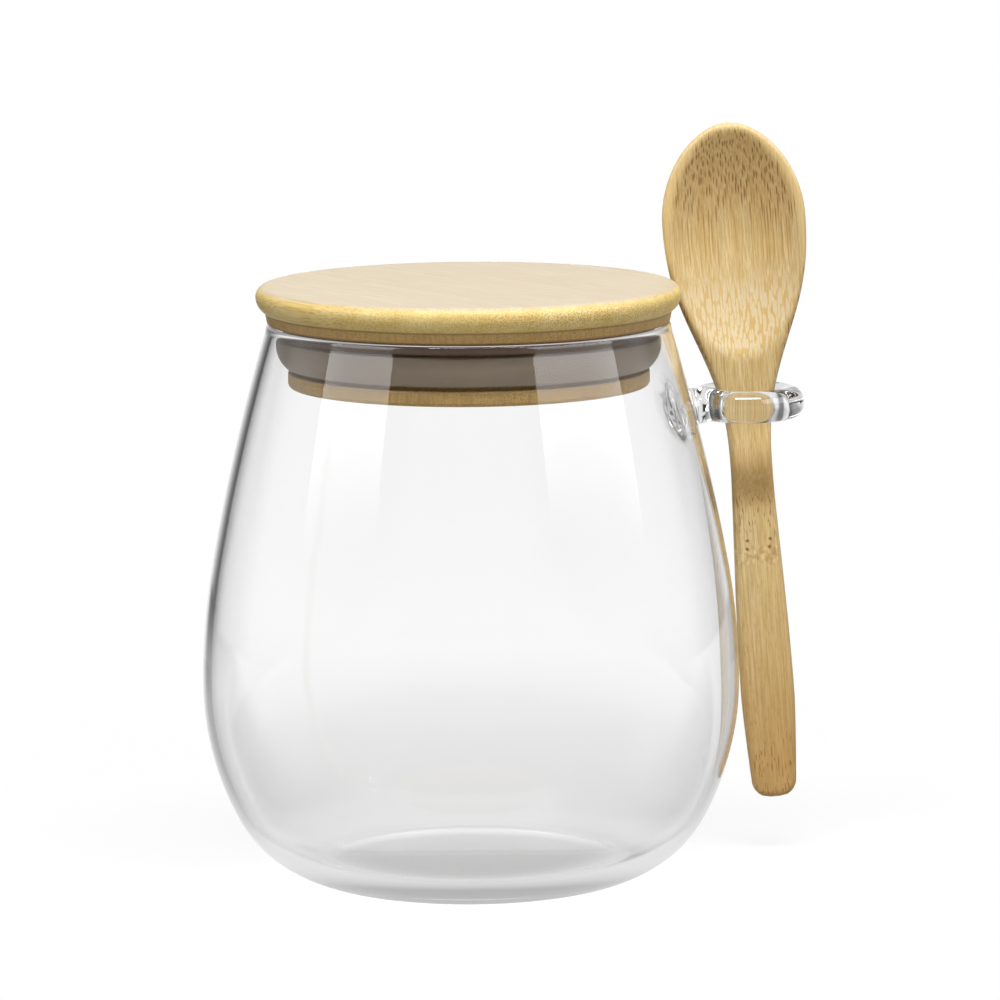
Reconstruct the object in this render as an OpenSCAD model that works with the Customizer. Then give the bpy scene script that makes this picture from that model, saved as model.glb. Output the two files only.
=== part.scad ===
// Glass storage jar with a wooden plug lid and a spoon that hangs in a glass loop on its side.
// The jar stands on z = 0 with its axis on Z, and the loop and the spoon are on the +X side.

/* [Jar] */
// Diameter across the belly
belly_d = 100; // [97:0.5:103]
// Height of the widest ring of the belly
belly_z = 36.8; // [35.8:0.2:37.2]
// Height of the glass, from the table to the top of the lip
jar_h = 104.2; // [102:0.2:107]
// Thickness of the wall
wall = 1.5; // [1.2:0.1:1.8]
// Thickness of the floor at its rim
floor_t = 3.4; // [2.8:0.1:3.8]
// Rise of the floor towards the middle
floor_rise = 0.8; // [0.4:0.1:1.2]

/* [Jar curves] */
// Radius of the wall's curve under the belly
low_r = 53.2; // [52:0.2:55]
// Turn of the wall from the belly down to the heel, in degrees
low_turn = 28; // [27.5:0.5:30]
// Radius of the rounded heel
heel_r = 23.4; // [22.8:0.1:24]
// Radius of the wall's curve over the belly
high_r = 124; // [118:1:130]
// Turn of the wall from the belly up to the shoulder, in degrees
high_turn = 10; // [9:0.5:11]

/* [Lip] */
// Outside diameter of the lip
lip_d = 75.2; // [74.4:0.2:76]
// Thickness of the lip
lip_t = 1.8; // [1.6:0.1:2]
// Height of the straight band under the lip's top
lip_h = 1.4; // [1.2:0.1:1.6]
// Length of the straight mouth inside the lip
mouth_h = 1.3; // [1:0.1:1.8]

/* [Loop] */
// Height of the loop's middle
loop_z = 86.2; // [84:0.2:88]
// Distance from the jar's axis to the middle of the loop
loop_reach = 55.7; // [55.2:0.1:56.5]
// Diameter of the loop's hole
loop_hole = 10.8; // [10.7:0.1:11.2]
// Width of the loop's glass rod
rod_w = 5.4; // [5:0.1:5.8]
// Height of the loop's glass rod
rod_h = 6; // [5.8:0.1:6.6]
// Height of the flared foot where it meets the wall
foot_h = 9.2; // [8.4:0.2:10]

/* [Lid] */
// Diameter of the lid
lid_d = 78.8; // [78:0.2:79.4]
// Height of the lid's top above the lip
lid_over = 6.9; // [6.4:0.1:7.4]
// Height of the lid's widest ring above the lip
lid_edge = 5; // [4.8:0.1:5.2]
// Radius of the round under the lid's widest ring
lid_under_r = 3.3; // [3.1:0.1:3.5]
// Height of the shoulder that sits on the lip
shoulder_h = 2.1; // [1.9:0.1:2.3]
// Diameter of the plug
plug_d = 67; // [66:0.2:68]
// Depth of the plug below the lip
plug_h = 11.8; // [11.4:0.1:13]

/* [Seal] */
// Largest diameter of the seal
seal_d = 71.2; // [70.6:0.1:71.2]
// Depth of the seal's top below the lip
seal_top = 1.9; // [1.7:0.1:2.2]
// Height of the seal
seal_h = 6.2; // [5.8:0.1:6.4]
// Depth of the seal's widest ring below the lip
seal_full = 3.4; // [3.1:0.1:3.9]
// Diameter of the seal at its lower edge
seal_foot_d = 67.6; // [67:0.1:68.2]
// Depth of the groove in the plug
groove = 1.8; // [1.4:0.1:2.2]
// Height of the open part of the groove under the seal
groove_gap = 0.8; // [0.4:0.1:1]

/* [Spoon] */
// Length of the spoon
spoon_l = 130; // [126:1:134]
// Width of the bowl
bowl_w = 26.9; // [26:0.1:27.4]
// Width of the neck
neck_w = 7.9; // [7.4:0.1:8.4]
// Width of the handle at its widest
handle_w = 10.2; // [9.8:0.1:10.2]
// Thickness of the handle
handle_t = 3.8; // [3.4:0.1:4.2]
// Set of the handle behind the neck
handle_set = 0.7; // [0.4:0.1:0.9]
// Depth of the bowl's hollow
bowl_depth = 4.8; // [4.4:0.1:5]
// Thickness of the bowl's floor
bowl_floor = 3.2; // [2.8:0.1:3.6]
// Length of the handle below the loop's middle
spoon_drop = 76.6; // [76.2:0.1:77]
// Lean of the spoon, its lower end outwards, in degrees
spoon_lean = 4.4; // [4:0.1:4.8]
// Turn of the spoon's face about its own length, in degrees
spoon_turn = -20; // [-24:1:-16]

/* [Hidden] */
$fn = 96;

glass = [0.86, 0.9, 0.9, 0.45];
glass_rod = [0.78, 0.84, 0.84, 0.6];
bamboo = [0.85, 0.74, 0.52];
spoon_wood = [0.82, 0.68, 0.42];
silicone = [0.62, 0.6, 0.56];

// Points of an arc about c, from angle a0 to angle a1
function polar(c, r, a) = c + r * [cos(a), sin(a)];
function arc(c, r, a0, a1, n) = [for (i = [0 : n]) polar(c, r, a0 + (a1 - a0) * i / n)];
// The same arc without its first point, to follow on from another arc
function arc_on(c, r, a0, a1, n) = [for (i = [1 : n]) polar(c, r, a0 + (a1 - a0) * i / n)];
function smooth(u) = let (v = min(max(u, 0), 1)) v * v * (3 - 2 * v);
function mix(a, b, u) = a + (b - a) * u;

// Wall of the jar: tangent arcs for heel, lower belly, upper belly and shoulder
belly_r = belly_d / 2;
lip_r = lip_d / 2;
mouth_r = lip_r - lip_t;
low_c = [belly_r - low_r, belly_z];
high_c = [belly_r - high_r, belly_z];
heel_c = polar(low_c, low_r - heel_r, -low_turn);
heel_turn = asin(heel_c[1] / heel_r);
shoulder_p = polar(high_c, high_r, high_turn);
lip_p = [lip_r, jar_h - lip_h];
rise = lip_p - shoulder_p;
// The shoulder's arc leaves the upper belly without a kink and ends at the lip
shoulder_r = -(rise * rise) / (2 * rise * polar([0, 0], 1, high_turn));
shoulder_c = shoulder_p - polar([0, 0], shoulder_r, high_turn);
lip_turn = asin((lip_p[1] - shoulder_c[1]) / shoulder_r);

// Heel inside the jar: tangent to the floor and to the wall
heel_in_r = (belly_z - floor_t - (low_r - wall) * sin(low_turn)) / (1 - sin(low_turn));
heel_in_c = polar(low_c, low_r - wall - heel_in_r, -low_turn);
// The mouth's straight wall ends in a bevel that runs out into the shoulder
mouth_low = jar_h - lip_t / 2 - mouth_h;
bevel_turn = asin((mouth_low - 1.6 - shoulder_c[1]) / (shoulder_r - wall));
lip_c = [lip_r - lip_t / 2, jar_h - lip_t / 2];

outer_wall = concat(
    arc(heel_c, heel_r, -heel_turn, -low_turn, 12),
    arc_on(low_c, low_r, -low_turn, 0, 8),
    arc_on(high_c, high_r, 0, high_turn, 6),
    arc_on(shoulder_c, shoulder_r, high_turn, lip_turn, 6)
);
inner_wall = concat(
    arc(shoulder_c, shoulder_r - wall, bevel_turn, high_turn, 6),
    arc_on(high_c, high_r - wall, high_turn, 0, 6),
    arc_on(low_c, low_r - wall, 0, -low_turn, 8),
    arc_on(heel_in_c, heel_in_r, -low_turn, -90, 12)
);
// Floor: a shallow dome from the inner heel to the axis
dome_r = (heel_in_c[0] ^ 2 + floor_rise ^ 2) / (2 * floor_rise);
dome_turn = asin(heel_in_c[0] / dome_r);
dome = arc_on([0, floor_t + floor_rise - dome_r], dome_r, 90 - dome_turn, 90, 6);

// Lid
lid_r = lid_d / 2;
lid_sit = jar_h + 0.05;
lid_top = jar_h + lid_over;
lid_edge_z = jar_h + lid_edge;
lid_top_r = lid_top - lid_edge_z;
under_c = [lid_r - lid_under_r, lid_edge_z];
crease_z = jar_h + shoulder_h;
crease_turn = asin((lid_edge_z - crease_z) / lid_under_r);
plug_r = plug_d / 2;
plug_low = jar_h - plug_h;
plug_round = 0.8;
groove_r = plug_r - groove;

// Seal
seal_r = seal_d / 2;
seal_z = jar_h - seal_top - seal_h;
seal_full_z = jar_h - seal_full;
seal_taper = seal_r - seal_foot_d / 2;
// Arc of the seal's outside, from its lower edge through its widest ring
seal_bulge_r = ((seal_full_z - seal_z) ^ 2 + seal_taper ^ 2) / (2 * seal_taper);
seal_c = [seal_r - seal_bulge_r, seal_full_z];
seal_low_turn = asin((seal_full_z - seal_z) / seal_bulge_r);
seal_high_turn = asin((seal_z + seal_h - seal_full_z) / seal_bulge_r);

// Loop
loop_r = (loop_hole + rod_w) / 2;
stem_r = rod_h / 2;
stem_x = loop_reach - loop_r - rod_w / 2;
flare_r = 3.4;

// Spoon, measured along its length from the handle's end
neck_t = spoon_l * 0.492;
bowl_t = spoon_l * 0.856;
flare_t = spoon_l * 0.15;
end_round = 3.4;
bowl_mid = spoon_l * 0.823;
bowl_half = spoon_l * 0.1615;
step_t = spoon_l * 0.448;
rim_y = -3;
hollow_side = bowl_w / 2 - 1.7;
// Circle across the hollow at its deepest, and the arc along it
hollow_r = (hollow_side ^ 2 + bowl_depth ^ 2) / (2 * bowl_depth);
hollow_arc = (bowl_half ^ 2 + bowl_depth ^ 2) / (2 * bowl_depth);
hollow_y = rim_y - (hollow_r - bowl_depth);
// The same pair for the bowl's back, with an edge 2 mm thick
back_depth = bowl_depth + bowl_floor;
back_edge = 2;
back_side = bowl_w / 2;
back_y = (back_side ^ 2 + back_edge ^ 2 - back_depth ^ 2) / (2 * (back_depth - back_edge));
back_r = back_y + back_depth;
back_drop = back_depth - 2.2;
back_arc = ((spoon_l - bowl_mid) ^ 2 + back_drop ^ 2) / (2 * back_drop);

// Half the spoon's width at t along its length
function end_w(t) = mix(handle_w / 2, handle_w * 0.395, max(1 - t / flare_t, 0) ^ 1.3);
function handle_half(t) = mix(neck_w / 2, end_w(t), smooth(max((neck_t - t) / (neck_t - flare_t), 0) ^ 0.8));
function bowl_share(v) = smooth(v ^ (1.32 - 0.68 * v ^ 1.5));
function bowl_half_w(t) = mix(neck_w / 2, bowl_w / 2, bowl_share(max((t - neck_t) / (bowl_t - neck_t), 0.001)));
// The bowl's top, from its widest line at u = 0 to its tip at u = 1
function tip_half_w(u) = bowl_w / 2 * max(1 - u ^ 2, 0) ^ 0.57;
end_half = handle_half(end_round);
spoon_outline = concat(
    [[0, 0]],
    [for (i = [0 : 5]) [end_half - end_round * (1 - sin(i * 18)), end_round * (1 - cos(i * 18))]],
    [for (i = [1 : 14]) let (t = mix(end_round, neck_t, i / 14)) [handle_half(t), t]],
    [for (i = [1 : 16]) let (t = mix(neck_t, bowl_t, i / 16)) [bowl_half_w(t), t]],
    [for (i = [1 : 13]) let (u = sin(i * 90 / 14)) [tip_half_w(u), mix(bowl_t, spoon_l, u)]],
    [[0, spoon_l]]
);

// Side of the handle and neck: front, then back, with the neck set forward of the handle
function front_y(t) = mix(handle_set - handle_t / 2, rim_y, smooth((t - step_t) / 6.5));
function neck_back(t) = mix(handle_set + handle_t / 2, 1.2, smooth((t - step_t) / 9));
function back_of(t) = mix(neck_back(t), rim_y + 1, smooth((t - spoon_l * 0.64) / (spoon_l * 0.17)));
side_end = spoon_l * 0.81;
handle_side = concat(
    [for (i = [0 : 40]) let (t = side_end * i / 40) [front_y(t), t]],
    [for (i = [40 : -1 : 0]) let (t = side_end * i / 40) [back_of(t), t]]
);

// Solid outline of the jar's outside, for trimming what is fused to it
module jar_outside() {
    rotate_extrude()
        polygon(concat([[0, 0]], outer_wall, [[lip_r, jar_h], [0, jar_h]]));
}

module jar_body() {
    color(glass)
        rotate_extrude()
            polygon(concat(
                [[0, 0]],
                outer_wall,
                arc(lip_c, lip_t / 2, 0, 180, 10),
                [[mouth_r, mouth_low]],
                inner_wall,
                dome
            ));
}

// Ring of glass rod, taller than it is wide, with round edges
module loop_ring() {
    rotate_extrude()
        translate([loop_r, 0]) {
            square([rod_w, rod_h - rod_w], center = true);
            for (side = [-1, 1])
                translate([0, side * (rod_h - rod_w) / 2])
                    circle(d = rod_w);
        }
}

// Stem from the jar's axis side to the ring, flaring towards the wall like drawn glass
module loop_stem() {
    start = stem_x - 8;
    translate([start, 0, 0])
        rotate([0, 90, 0])
            rotate_extrude()
                difference() {
                    square([foot_h / 2, stem_x - start + rod_w / 2]);
                    translate([stem_r + flare_r, stem_x - start + 0.6])
                        circle(r = flare_r);
                    translate([stem_r, stem_x - start + 0.6])
                        square([foot_h, rod_w]);
                }
}

module spoon_loop() {
    color(glass_rod)
        difference() {
            translate([0, 0, loop_z]) {
                translate([loop_reach, 0, 0])
                    loop_ring();
                difference() {
                    loop_stem();
                    translate([loop_reach, 0, -foot_h])
                        cylinder(r = loop_r, h = 2 * foot_h);
                }
            }
            jar_outside();
        }
}

module lid() {
    color(bamboo)
        rotate_extrude()
            polygon(concat(
                [[0, plug_low]],
                arc([plug_r - plug_round, plug_low + plug_round], plug_round, -90, 0, 5),
                [[plug_r, seal_z - groove_gap], [groove_r, seal_z - groove_gap]],
                [[groove_r, seal_z + seal_h], [plug_r, seal_z + seal_h]],
                [[plug_r, lid_sit], [lip_r - 0.3, lid_sit]],
                arc(under_c, lid_under_r, -crease_turn, 0, 8),
                arc_on([lid_r - lid_top_r, lid_edge_z], lid_top_r, 0, 90, 8),
                [[0, lid_top]]
            ));
}

module gasket() {
    color(silicone)
        rotate_extrude()
            polygon(concat(
                [[groove_r, seal_z]],
                arc(seal_c, seal_bulge_r, -seal_low_turn, seal_high_turn, 14),
                [[groove_r, seal_z + seal_h]]
            ));
}

// Round body whose side is an arc of radius along, with radius r at its middle
module spindle(r, along, half) {
    rotate_extrude()
        intersection() {
            translate([r - along, 0])
                circle(r = along, $fn = 360);
            translate([0, -half])
                square([r + 1, 2 * half]);
        }
}

// Handle, neck and the rib that runs out under the bowl
module handle_bar() {
    rotate([90, 0, 90])
        linear_extrude(height = 2 * bowl_w, center = true)
            polygon(handle_side);
}

// Back of the bowl, cut flat at the rim
module bowl_back() {
    intersection() {
        translate([0, rim_y - back_y, bowl_mid])
            spindle(back_r, back_arc, spoon_l - bowl_mid + 2);
        translate([-bowl_w, rim_y, 0])
            cube([2 * bowl_w, 20, spoon_l + 10]);
    }
}

module spoon_shape() {
    difference() {
        intersection() {
            rotate_extrude()
                polygon(spoon_outline);
            union() {
                handle_bar();
                bowl_back();
            }
        }
        translate([0, hollow_y, bowl_mid])
            spindle(hollow_r, hollow_arc, bowl_half + 1.5);
    }
}

module spoon() {
    color(spoon_wood)
        translate([loop_reach, 0, loop_z])
            rotate([0, -spoon_lean, 0])
                rotate([0, 0, spoon_turn])
                    translate([0, 0, -spoon_drop])
                        spoon_shape();
}

jar_body();
spoon_loop();
lid();
gasket();
spoon();
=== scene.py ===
"""Storage jar of blown glass with a fused loop, a bamboo plug lid with its seal, and a bamboo spoon."""
import math

import bpy
import numpy as np
from mathutils import Matrix, Vector


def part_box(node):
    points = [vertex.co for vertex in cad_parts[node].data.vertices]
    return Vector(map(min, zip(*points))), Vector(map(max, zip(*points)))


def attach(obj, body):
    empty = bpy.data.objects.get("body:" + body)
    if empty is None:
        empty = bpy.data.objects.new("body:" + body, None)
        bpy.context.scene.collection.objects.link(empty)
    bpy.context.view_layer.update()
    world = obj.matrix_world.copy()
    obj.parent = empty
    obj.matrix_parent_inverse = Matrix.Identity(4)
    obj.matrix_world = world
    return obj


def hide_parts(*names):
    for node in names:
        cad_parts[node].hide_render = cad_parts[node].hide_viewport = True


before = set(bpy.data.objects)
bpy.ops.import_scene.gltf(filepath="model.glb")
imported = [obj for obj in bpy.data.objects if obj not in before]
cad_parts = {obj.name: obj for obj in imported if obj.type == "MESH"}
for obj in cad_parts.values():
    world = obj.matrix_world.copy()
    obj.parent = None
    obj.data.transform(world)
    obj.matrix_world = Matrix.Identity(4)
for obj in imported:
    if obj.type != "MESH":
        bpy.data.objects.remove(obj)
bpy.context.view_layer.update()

# Sizes are in millimetres up to the moment a mesh is made
MM = 0.001


def node_box(node):
    """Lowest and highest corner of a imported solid, in millimetres."""
    low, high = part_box(node)
    return [round(v / MM, 2) for v in low], [round(v / MM, 2) for v in high]


_, glass_high = node_box("jar_body")
lid_low, lid_high = node_box("lid")
seal_low, seal_high = node_box("gasket")

# Jar
BELLY_R = round(glass_high[0], 1)
JAR_H = glass_high[2]
BELLY_Z = 36.8
WALL = 1.5
FLOOR_T = 3.4
PUNT = 1.15
PUNT_R = 27
LOW_R = 53.2
LOW_TURN = 28
HEEL_R = 23.4
HIGH_R = 124
HIGH_TURN = 10
LIP_R = 37.6
LIP_H = 1.4
GLASS_SOFT = 0.5
MOUTH_BAND = 7
MOUTH_STEP = 0.3
WALL_STEP = 1.1
JAR_COLUMNS = 240
GLASS_TINT = (0.955, 0.95, 0.955, 1.0)
GLASS_TURNS = 2.5

# Loop: a ring of rod on a neck that flares into the wall and draws it out a little
LOOP_Z = 86.2
LOOP_REACH = 55.7
LOOP_R = 8.1
ROD_W = 5.4
ROD_H = 6.0
ROD_SHADE = 0.15
ROD_FROM_X = (46, 47.5)
ROD_FROM_Z = (79, 81)
FLARE = 5.6
FLARE_REACH = 12
NECK_START = 38
NECK_FILLET = 2.0
NECK_WAIST = 3.3
NECK_OUT = 0.4
DRAW = 0.8
DRAW_REACH = 2.2
DRAW_RISE = 4.0
RING_COLUMNS = 128
ROD_COLUMNS = 40
NECK_RINGS = 14
# Half of the opening in wall and ring where the neck joins them, in mesh cells
WINDOW = 5

# Lid and seal. The sloping glass lifts the image of the seal, so its top sits lower than the solid's.
LID_R = round(lid_high[0], 1)
LID_TOP = lid_high[2]
LID_EDGE = JAR_H + 5
LID_UNDER_R = 3.3
LID_SIT = JAR_H + 0.05
LID_SOFT = 0.2
LID_FLAT_STEP = 3.0
LID_EDGE_STEP = 0.22
LID_COLUMNS = 192
SHOULDER_H = 2.1
SHOULDER_R = LIP_R - 0.3
PLUG_R = 33.5
PLUG_LOW = lid_low[2]
PLUG_ROUND = 0.8
GROOVE = 1.8
GROOVE_GAP = 0.8
SEAL_R = round(seal_high[0], 1)
SEAL_LOW = seal_low[2]
SEAL_HIGH = seal_high[2] - 0.75
SEAL_FULL = JAR_H - 3.6
SEAL_FOOT_R = 33.8
SEAL_CROWN = 0.12
SEAL_BEND = 2.4
SEAL_SOFT = 0.12
SEAL_STEP = 0.2

# Spoon
SPOON_L = 130
BOWL_W = 26.9
NECK_W = 7.9
HANDLE_W = 10.2
HANDLE_T = 3.8
HANDLE_SET = 0.7
BOWL_DEPTH = 4.8
BOWL_FLOOR = 3.2
BOWL_RIM = 1.3
BOWL_TIP = 2.2
SPOON_DROP = 76.6
SPOON_LEAN = 4.4
SPOON_TURN = -20
SPOON_STATIONS = 170
SPOON_ACROSS = 40
EDGE_ROUND = 1.5
END_ROUND = 1.3
HOLLOW_SOFT = 0.3
BACK_SOFT = 0.8
BACK_TRIM = 0.02

# Grain of the lid's board in plan. On the spoon: the loop's painted shadow, the stroked zone and the stalk's
# node by their place along it, and the node's scars as (across, along).
GRAIN_TURN = -74.7
LOOP_SHADOW_T = 62
STROKES_T = 55
NODE_T = 47.2
NODE_SCARS = ((-1.8, 50.2), (-1.95, 48.6), (2.55, 50.3), (2.3, 48.8))


# Shader maths

class Wire:
    """A shader socket that can be written in sums: every operator adds a Math node."""

    def __init__(self, finish, socket):
        self.finish = finish
        self.socket = socket

    def maths(self, operation, other=0.0, swapped=False):
        first, second = (other, self) if swapped else (self, other)
        return self.finish.node("ShaderNodeMath", {"operation": operation}, {0: first, 1: second})

    def __add__(self, other):
        return self.maths("ADD", other)

    def __sub__(self, other):
        return self.maths("SUBTRACT", other)

    def __rsub__(self, other):
        return self.maths("SUBTRACT", other, swapped=True)

    def __mul__(self, other):
        return self.maths("MULTIPLY", other)

    def __truediv__(self, other):
        return self.maths("DIVIDE", other)

    def __pow__(self, other):
        return self.maths("POWER", other)

    def __abs__(self):
        return self.maths("ABSOLUTE")

    __radd__ = __add__
    __rmul__ = __mul__


class Finish:
    """The nodes of a material, a lamp or the studio's world, written as expressions on wires."""

    def __init__(self, owner):
        owner.use_nodes = True
        self.owner = owner
        self.tree = owner.node_tree
        self.tree.nodes.clear()

    def node(self, kind, settings=None, inputs=None, out=0):
        made = self.tree.nodes.new(kind)
        for key, value in (settings or {}).items():
            setattr(made, key, value)
        for key, value in (inputs or {}).items():
            if isinstance(value, Wire):
                self.tree.links.new(value.socket, made.inputs[key])
            else:
                made.inputs[key].default_value = value
        return Wire(self, made.outputs[out]) if made.outputs else None

    def place(self, origin=(0, 0, 0), axes=((1, 0, 0), (0, 1, 0), (0, 0, 1))):
        """Wires with the place on the piece along each axis from origin, in millimetres."""
        here = self.node("ShaderNodeTexCoord", out="Object")
        here = self.node("ShaderNodeVectorMath", {"operation": "SUBTRACT"}, {0: here, 1: origin})
        return [self.dot(here, axis) / MM for axis in axes]

    def vector(self, x, y, z):
        return self.node("ShaderNodeCombineXYZ", None, {0: x, 1: y, 2: z})

    def noise(self, vector, scale, detail=2.0, roughness=0.5):
        inputs = {"Vector": vector, "Scale": scale, "Detail": detail, "Roughness": roughness}
        return self.node("ShaderNodeTexNoise", None, inputs)

    def rods(self, side, thick, spacing, out="Distance"):
        """Long rods about spacing apart: the way to the nearest one, in spacings, or its own colour."""
        inputs = {"Vector": self.vector(side, thick, 0.0), "Scale": 1 / spacing, "Randomness": 0.85}
        return self.node("ShaderNodeTexVoronoi", {"voronoi_dimensions": "2D"}, inputs, out)

    def rise(self, wire, low, high):
        """0 below low, 1 above high, smooth between; low may be the larger one."""
        flip = low > high
        if flip:
            low, high = high, low
        inputs = {"Value": wire, "From Min": low, "From Max": high}
        ramp = self.node("ShaderNodeMapRange", {"interpolation_type": "SMOOTHSTEP"}, inputs)
        return 1 - ramp if flip else ramp

    def steps(self, wire, level, changes):
        """The level, plus each change as the wire passes from its low to its high end."""
        for change, low, high in changes:
            level = level + change * self.rise(wire, low, high)
        return level

    def dot(self, vector, axis):
        return self.node("ShaderNodeVectorMath", {"operation": "DOT_PRODUCT"}, {0: vector, 1: axis}, "Value")

    def colour_of(self, first, second, share):
        return self.node("ShaderNodeMix", {"data_type": "RGBA"}, {0: share, 6: first, 7: second}, out=2)

    def dim(self, colour, share):
        """The colour times a grey share."""
        return self.node("ShaderNodeVectorMath", {"operation": "SCALE"}, {0: colour, "Scale": share})

    def bump(self, height, strength, distance):
        inputs = {"Strength": strength, "Distance": distance, "Height": height}
        return self.node("ShaderNodeBump", None, inputs, out="Normal")

    def close(self, surface, kind="ShaderNodeOutputMaterial"):
        self.node(kind, None, {"Surface": surface})


def rgb(red, green, blue):
    """A shader colour from 0..255 screen values."""
    def linear(v):
        v = v / 255
        return v / 12.92 if v <= 0.04045 else ((v + 0.055) / 1.055) ** 2.4
    return (linear(red), linear(green), linear(blue), 1.0)


# Finishes

def clear_glass():
    finish = Finish(bpy.data.materials.new("clear_glass"))
    x, y, z = finish.place()
    ripple = finish.noise(finish.vector(x, y, z * 0.35), 0.05, 2.0)
    inputs = {
        "Base Color": (1.0, 1.0, 1.0, 1.0),
        "Roughness": 0.0,
        "IOR": 1.48,
        "Transmission Weight": 1.0,
        "Normal": finish.bump(ripple, 0.02, 0.001),
    }
    glass = finish.node("ShaderNodeBsdfPrincipled", None, inputs)
    # Lamps shine through the thin wall, and the thick rod of the loop keeps part of its shade.
    # Light that is caught in the thick floor goes straight out after a few turns.
    clear = finish.node("ShaderNodeBsdfTransparent", None, {"Color": GLASS_TINT})
    shade = finish.node("ShaderNodeLightPath", out="Is Shadow Ray")
    caught = finish.node("ShaderNodeLightPath", out="Glossy Depth").maths("GREATER_THAN", GLASS_TURNS)
    rod = finish.rise(x, *ROD_FROM_X) * finish.rise(z, *ROD_FROM_Z)
    lamps = shade * (1 - ROD_SHADE * rod)
    share = lamps.maths("MAXIMUM", caught)
    finish.close(finish.node("ShaderNodeMixShader", None, {0: share, 1: glass, 2: clear}))
    return finish.owner


def bamboo(finish, along, across, depth, spacing, sway, shortness):
    """Long fibre bundles in softer pith: a cut along them shows streaks and a cut across shows dots.

    Returns wires for the distance from the nearest bundle, its own strength, fine hairs and broad bands."""
    slow = finish.noise(finish.vector(along * 0.02, across * 0.05, depth * 0.05), 1.0) - 0.5
    slant = finish.noise(finish.vector(along * 0.03, across * 0.04, depth * 0.04 + 7.0), 1.0) - 0.5
    side = across + slow * sway
    thick = depth + slant * sway
    own = finish.node("ShaderNodeSeparateColor", None, {0: finish.rods(side, thick, spacing, "Color")})
    gap = finish.rods(side, thick, spacing)
    hair = finish.noise(finish.vector(side, thick, along * shortness), 3.4, 3.0, 0.65)
    broad = finish.noise(finish.vector(side * 0.8, thick, along * 0.012), 0.6, 2.0)
    return gap, own, finish.rise(hair, 0.28, 0.72), finish.rise(broad, 0.34, 0.66)


def lid_bamboo():
    pale_edge = rgb(237, 212, 140)
    deep_edge = rgb(223, 191, 111)
    # Top colours: the top's own paler wood with a painted sheen in them
    pale_top_sheen = rgb(209, 198, 176)
    deep_top_sheen = rgb(195, 178, 147)
    # Plug brown: partly the end grain's own tone, partly painted shade under the lid
    plug_tone_and_shade = rgb(186, 152, 90)
    plug_streak = rgb(152, 108, 54)
    # Painted shade over the seal
    shade_over_seal_brown = rgb(124, 78, 32)
    # Painted shade in the crease
    crease_shade_brown = rgb(122, 84, 40)
    fibre_end = rgb(150, 104, 48)
    finish = Finish(bpy.data.materials.new("lid_bamboo"))
    x, y, z = finish.place()
    turn = math.radians(GRAIN_TURN)
    along = x * math.cos(turn) + y * math.sin(turn)
    across = y * math.cos(turn) - x * math.sin(turn)
    gap, own, hair, broad = bamboo(finish, along, across, z, 0.38, 1.0, 0.012)
    cloud = finish.noise(finish.vector(x, y, z), 0.11, 3.0)
    patch = broad * 0.5 + finish.rise(cloud, 0.35, 0.65) * 0.5
    ground = finish.colour_of(pale_edge, deep_edge, patch)

    # The planed top is paler and greyer than the turned edge: partly its own long grain, partly a painted
    # sheen
    planed = finish.rise(z, LID_TOP - 0.75, LID_TOP - 0.1)
    brushed = finish.noise(finish.vector(along * 0.1, across * 2.2, z), 1.0, 3.0, 0.6)
    brushed = finish.rise(brushed, 0.34, 0.66)
    top_with_sheen = finish.colour_of(pale_top_sheen, deep_top_sheen, brushed * 0.55 + hair * 0.3 + broad * 0.15)
    ground = finish.colour_of(ground, top_with_sheen, planed)

    # Shoulder and plug are browner than the edge, partly the end grain's own tone and partly painted shade
    # under the lid's overhang; painted shade makes them darkest over the seal and in the crease
    shoulder_z = JAR_H + SHOULDER_H
    plug = finish.rise(z, shoulder_z + 0.3, shoulder_z - 0.3)
    ground = finish.colour_of(ground, plug_tone_and_shade, plug * 0.85)
    ground = finish.dim(ground, 0.93 + 0.1 * hair)
    upright = finish.noise(finish.vector(x, y, z * 0.1), 2.4, 2.0, 0.6)
    upright = finish.rise(upright, 0.45, 0.62) * plug
    ground = finish.colour_of(ground, plug_streak, upright * 0.35)
    # Painted shade on the plug's neck between the lid's shoulder and the seal
    shade_over_seal = finish.rise(abs(z - (SEAL_HIGH + JAR_H) / 2), 1.9, 1.5)
    ground = finish.colour_of(ground, shade_over_seal_brown, shade_over_seal * 0.8)
    # Painted shade in the crease under the lid's edge
    crease = finish.rise(abs(z - shoulder_z), 0.3, 0.05)
    ground = finish.colour_of(ground, crease_shade_brown, crease * 0.6)

    # Fibre ends show as dots where the edge faces along the grain
    facing = finish.node("ShaderNodeNewGeometry", out="Normal")
    end_on = finish.dot(facing, (math.cos(turn), math.sin(turn), 0.0))
    end_on = finish.rise(abs(end_on), 0.7, 0.99)
    spots = finish.rise(gap, 0.48, 0.2) * finish.rise(own, -0.2, 0.6)
    inputs = {
        "Base Color": finish.colour_of(ground, fibre_end, spots * (0.3 + 0.3 * end_on - 0.15 * planed)),
        "Roughness": 0.4 + 0.12 * hair,
        "IOR": 1.45,
        "Normal": finish.bump(hair * 0.4 - spots * 0.6, 0.2, 0.00012),
    }
    finish.close(finish.node("ShaderNodeBsdfPrincipled", None, inputs))
    return finish.owner


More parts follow.
